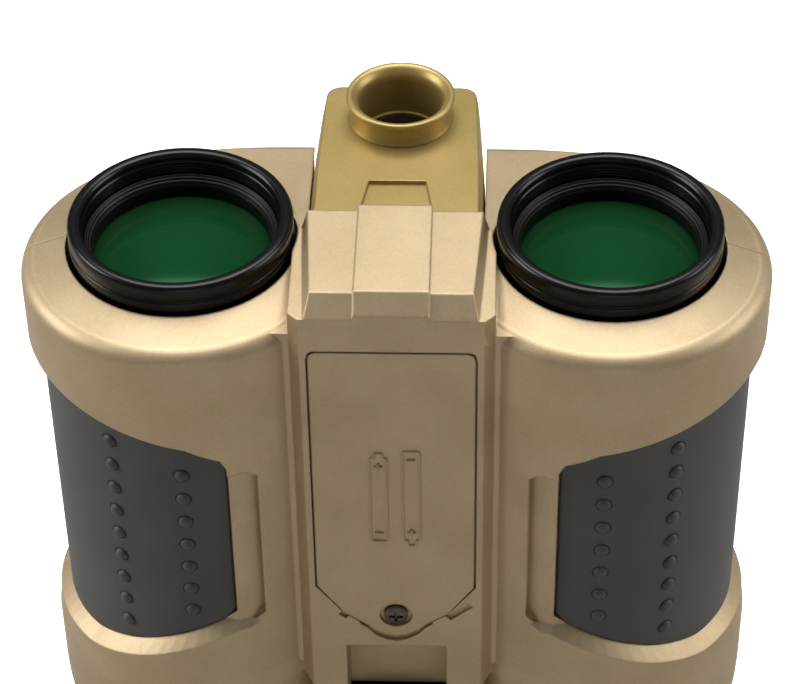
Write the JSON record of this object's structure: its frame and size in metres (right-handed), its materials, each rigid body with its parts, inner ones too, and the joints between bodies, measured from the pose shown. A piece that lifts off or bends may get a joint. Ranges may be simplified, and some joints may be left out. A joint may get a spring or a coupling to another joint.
{
  "type": "binoculars",
  "caption": "Toy binoculars with a pop-up spotlight, a central focus wheel, rubber eyecups, dark grips and a battery door on the underside.",
  "frame": {"origin": "on the plane the eyecups stand on, under the middle of the whole object's box", "axes": "+Z along the optical axes from the eyepieces to the objectives, +Y towards the top of the binoculars with the spotlight, +X to the right"},
  "size_m": [0.128, 0.0684, 0.1407],
  "materials": {
    "gold_shell": "champagne gold metallic paint on moulded ABS",
    "gold_light": "darker gold metallic paint on moulded ABS",
    "grip_rubber": "satin thermoplastic rubber",
    "black_gloss": "glossy moulded black plastic",
    "black_satin": "satin moulded black plastic",
    "cup_rubber": "soft matt rubber",
    "green_lens": "green coated lens",
    "clear_lens": "clear lens",
    "dark_window": "dark glossy window",
    "mirror_bowl": "vacuum metallised plastic",
    "bulb_glass": "clear bulb",
    "steel": "zinc plated steel",
    "brass_contact": "stamped brass",
    "cell_wrap": "printed cell sleeve, plain"
  },
  "bodies": {
    "body": {"lower_shell": "gold_shell", "upper_shell": "gold_shell", "left_grip": "grip_rubber", "right_grip": "grip_rubber", "left_objective_ring": "black_gloss", "right_objective_ring": "black_gloss", "left_retaining_ring": "black_satin", "right_retaining_ring": "black_satin", "left_objective_lens": "green_lens", "right_objective_lens": "green_lens", "light_springs": "steel", "contact_strips": "brass_contact", "button_spring": "steel", "latch_pin": "steel", "left_cell": "cell_wrap", "right_cell": "cell_wrap", "cell_springs": "steel", "cell_plates": "brass_contact", "body_screws": "steel"},
    "eyepieces": {"left_eyepiece_tube": "black_satin", "right_eyepiece_tube": "black_satin", "left_eyepiece_lens": "clear_lens", "right_eyepiece_lens": "clear_lens", "left_eyecup": "cup_rubber", "right_eyecup": "cup_rubber", "focus_bridge": "black_satin", "focus_screw": "steel"},
    "wheel": {"focus_wheel": "black_satin"},
    "spotlight": {"light_box": "gold_light", "light_back_cover": "gold_light", "light_bezel": "gold_light", "lamp_holder": "black_satin", "lamp_reflector": "mirror_bowl", "lamp_bulb": "bulb_glass", "lamp_window": "dark_window", "light_brushes": "brass_contact"},
    "button": {"release_button": "black_satin"},
    "latch": {"latch_lever": "black_satin"},
    "door": {"battery_door": "gold_shell"},
    "door_screw_body": {"door_screw": "steel"}
  },
  "joints": [
    {"name": "spotlight_slide", "type": "slide", "parent": "body", "child": "spotlight", "axis": [0, 1, 0], "range_m": [-0.0126, 0], "stiffness_N_per_m": 60, "springref_m": 0.02, "deforming": ["light_springs"]},
    {"name": "button_press", "type": "slide", "parent": "body", "child": "button", "axis": [0, -1, 0], "range_m": [0, 0.0015], "stiffness_N_per_m": 600, "springref_m": -0.0008, "deforming": ["button_spring"]},
    {"name": "latch_tip", "type": "hinge", "parent": "body", "child": "latch", "pos_m": [0, -0.009, 0.094], "axis": [-1, 0, 0], "range_deg": [0, 7]},
    {"name": "focus_turn", "type": "hinge", "parent": "body", "child": "wheel", "pos_m": [0, -0.006, 0.0294], "axis": [0, 0, 1], "range_deg": [0, 450]},
    {"name": "eyepieces_slide", "type": "slide", "parent": "body", "child": "eyepieces", "axis": [0, 0, -1], "range_m": [0, 0.00501]},
    {"name": "door_tip", "type": "hinge", "parent": "body", "child": "door", "pos_m": [0, -0.0295, 0.1276], "axis": [-1, 0, 0], "range_deg": [0, 50]},
    {"name": "door_screw_turn", "type": "hinge", "parent": "door", "child": "door_screw_body", "pos_m": [0, -0.0295, 0.065], "axis": [0, -1, 0], "continuous": true}
  ],
  "couplings": [
    {"joint": "latch_tip", "follows": "button_press", "rad_per_m": 77},
    {"joint": "eyepieces_slide", "follows": "focus_turn", "m_per_rad": 0.00063662}
  ]
}
